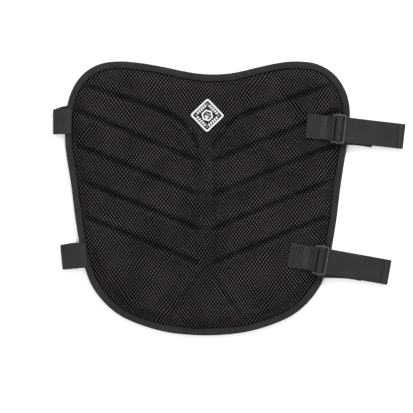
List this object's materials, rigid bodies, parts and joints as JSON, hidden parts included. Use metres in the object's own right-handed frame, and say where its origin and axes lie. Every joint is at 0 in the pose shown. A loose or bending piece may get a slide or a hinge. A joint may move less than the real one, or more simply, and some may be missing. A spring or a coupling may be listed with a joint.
{
  "type": "strap-on quilted body pad",
  "caption": "Soft quilted pad with a breathable mesh face, taped edge and elastic straps threaded through bar sliders.",
  "frame": {"origin": "middle of the part's footprint, on the surface that it lies on with its quilted face up", "axes": "+X to the right across the pad as its quilted face is seen, towards the sliders; +Y up the pad to its neck dip; +Z out of the quilted face"},
  "size_m": [0.4204, 0.3264, 0.017],
  "materials": {
    "face_mesh": "matte",
    "back_fabric": "matte",
    "binding_tape": "matte",
    "foam": "matte",
    "elastic": "matte",
    "grosgrain": "matte",
    "slider_plastic": "satin",
    "badge_dark": "matte",
    "badge_pale": "matte"
  },
  "bodies": {
    "pad": {"top_mesh_panel": "face_mesh", "back_panel": "back_fabric", "edge_binding": "binding_tape", "foam_rib_left_1": "foam", "foam_rib_left_2": "foam", "foam_rib_left_3": "foam", "foam_rib_left_4": "foam", "foam_rib_left_5": "foam", "foam_rib_left_6": "foam", "foam_rib_right_1": "foam", "foam_rib_right_2": "foam", "foam_rib_right_3": "foam", "foam_rib_right_4": "foam", "foam_rib_right_5": "foam", "foam_rib_right_6": "foam", "foam_spine": "foam", "foam_throat": "foam", "foam_wedge": "foam", "badge_base": "badge_dark", "badge_rim": "badge_pale", "upper_tab": "grosgrain", "upper_strap_loop": "elastic", "upper_strap_exit": "elastic", "upper_strap_return": "elastic", "lower_tab": "grosgrain", "lower_strap_loop": "elastic", "lower_strap_exit": "elastic", "lower_strap_return": "elastic"},
    "upper_back": {"upper_strap_back": "elastic"},
    "upper_fold": {"upper_strap_fold": "elastic"},
    "upper_slider": {"upper_slider": "slider_plastic", "upper_strap_threaded": "elastic"},
    "upper_tail_root": {"upper_strap_tail_root": "elastic"},
    "upper_tail": {"upper_strap_tail": "elastic"},
    "lower_back": {"lower_strap_back": "elastic"},
    "lower_fold": {"lower_strap_fold": "elastic"},
    "lower_slider": {"lower_slider": "slider_plastic", "lower_strap_threaded": "elastic"},
    "lower_tail_root": {"lower_strap_tail_root": "elastic"},
    "lower_tail": {"lower_strap_tail": "elastic"}
  },
  "joints": [
    {"name": "upper_strap_pull", "type": "slide", "parent": "pad", "child": "upper_back", "axis": [0, 0, -1], "range_m": [0, 0.05], "stiffness_N_per_m": 60},
    {"name": "upper_slider_swing", "type": "hinge", "parent": "pad", "child": "upper_slider", "pos_m": [0.12259, 0.08308, 0.01397], "axis": [-0.1097, -0.994, 0], "range_deg": [0, 75]},
    {"name": "upper_tail_draw", "type": "slide", "parent": "upper_slider", "child": "upper_tail_root", "axis": [0.994, -0.1097, 0], "range_m": [0, 0.03]},
    {"name": "upper_tail_lift", "type": "hinge", "parent": "upper_tail_root", "child": "upper_tail", "pos_m": [0.16235, 0.07869, 0.00917], "axis": [-0.1097, -0.994, 0], "range_deg": [0, 115]},
    {"name": "upper_fold_draw", "type": "slide", "parent": "pad", "child": "upper_fold", "axis": [-0.9885, 0.1513, 0], "range_m": [0, 0.015], "deforming": ["upper_strap_exit", "upper_strap_return"]},
    {"name": "lower_strap_pull", "type": "slide", "parent": "pad", "child": "lower_back", "axis": [0, 0, -1], "range_m": [0, 0.05], "stiffness_N_per_m": 60},
    {"name": "lower_slider_swing", "type": "hinge", "parent": "pad", "child": "lower_slider", "pos_m": [0.10139, -0.07232, 0.01397], "axis": [-0.1771, -0.9842, 0], "range_deg": [0, 75]},
    {"name": "lower_tail_draw", "type": "slide", "parent": "lower_slider", "child": "lower_tail_root", "axis": [0.9842, -0.1771, 0], "range_m": [0, 0.03]},
    {"name": "lower_tail_lift", "type": "hinge", "parent": "lower_tail_root", "child": "lower_tail", "pos_m": [0.14076, -0.0794, 0.00917], "axis": [-0.1771, -0.9842, 0], "range_deg": [0, 115]},
    {"name": "lower_fold_draw", "type": "slide", "parent": "pad", "child": "lower_fold", "axis": [-0.981, 0.1942, 0], "range_m": [0, 0.015], "deforming": ["lower_strap_exit", "lower_strap_return"]}
  ],
  "couplings": [
    {"joint": "upper_fold_draw", "follows": "upper_tail_draw", "ratio": 0.5},
    {"joint": "lower_fold_draw", "follows": "lower_tail_draw", "ratio": 0.5}
  ]
}
